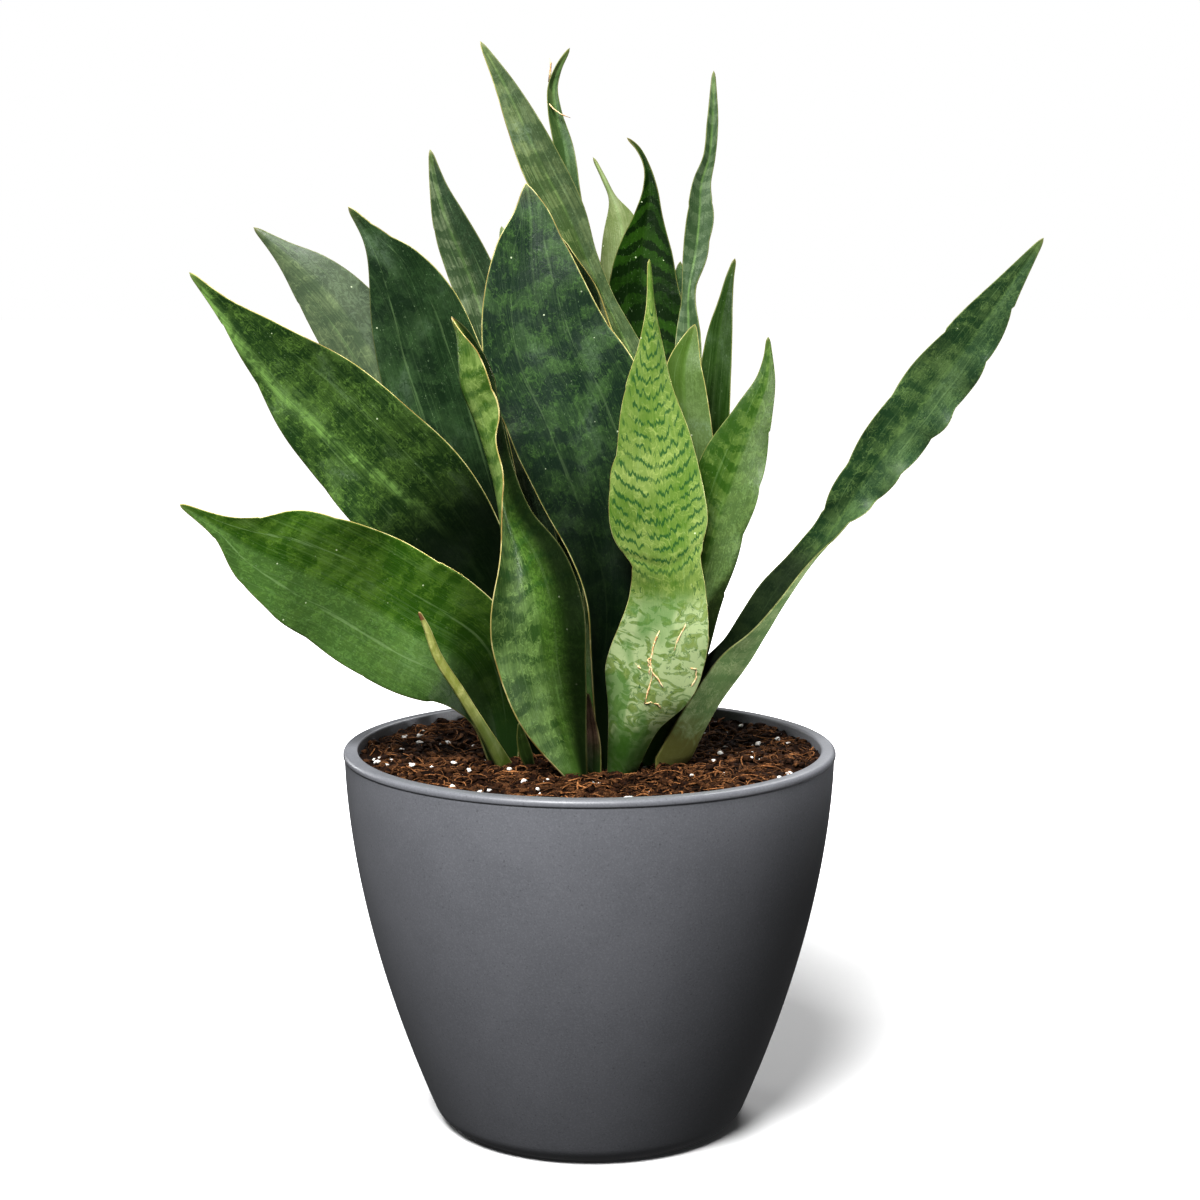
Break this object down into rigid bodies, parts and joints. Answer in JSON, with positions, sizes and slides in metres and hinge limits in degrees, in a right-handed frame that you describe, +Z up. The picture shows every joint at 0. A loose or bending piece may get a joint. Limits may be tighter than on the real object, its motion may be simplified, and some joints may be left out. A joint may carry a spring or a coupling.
{
  "type": "potted snake plant",
  "caption": "Potted snake plant: broad sword-shaped mottled and banded leaves standing in dark soil in a round tapered planter.",
  "frame": {"origin": "centre of the pot's flat underside, on the surface it stands on", "axes": "+Z up along the pot's axis; -Y is the front, the side the leaves face; +X is to the right seen from the front"},
  "size_m": [0.4493, 0.27, 0.5915],
  "materials": {
    "pot_plastic": "matte slate grey moulded plastic with a fine speckle",
    "soil": "rough damp peat and coir mix with white perlite grains",
    "leaf_dark": "waxy dark green, mottled, with a cream margin",
    "leaf_mid": "waxy mid green, mottled, with a cream margin",
    "leaf_pale": "waxy pale green with dark cross bands",
    "leaf_grey": "waxy grey green with fine lengthwise streaks",
    "leaf_dry": "dry papery brown"
  },
  "bodies": {
    "root": {"pot": "pot_plastic", "potting_soil": "soil", "leaf_far_right": "leaf_dark", "leaf_right_mid": "leaf_mid", "leaf_front_banded": "leaf_pale", "leaf_right_smooth": "leaf_pale", "leaf_right_rear": "leaf_dark", "leaf_back_tall_right": "leaf_grey", "leaf_back_curled_tip": "leaf_dark", "leaf_back_pale": "leaf_pale", "leaf_tall_left": "leaf_grey", "leaf_back_torn_tip": "leaf_dark", "leaf_centre_broad": "leaf_dark", "leaf_left_rear_narrow": "leaf_dark", "leaf_left_dark": "leaf_dark", "leaf_left_grey": "leaf_grey", "leaf_left_wide": "leaf_dark", "leaf_left_low": "leaf_mid", "leaf_front_twisted": "leaf_mid", "leaf_rear_left": "leaf_grey", "leaf_rear_right": "leaf_mid", "young_shoot": "leaf_pale", "small_sprout": "leaf_mid", "old_leaf_stub": "leaf_dry"}
  },
  "joints": []
}
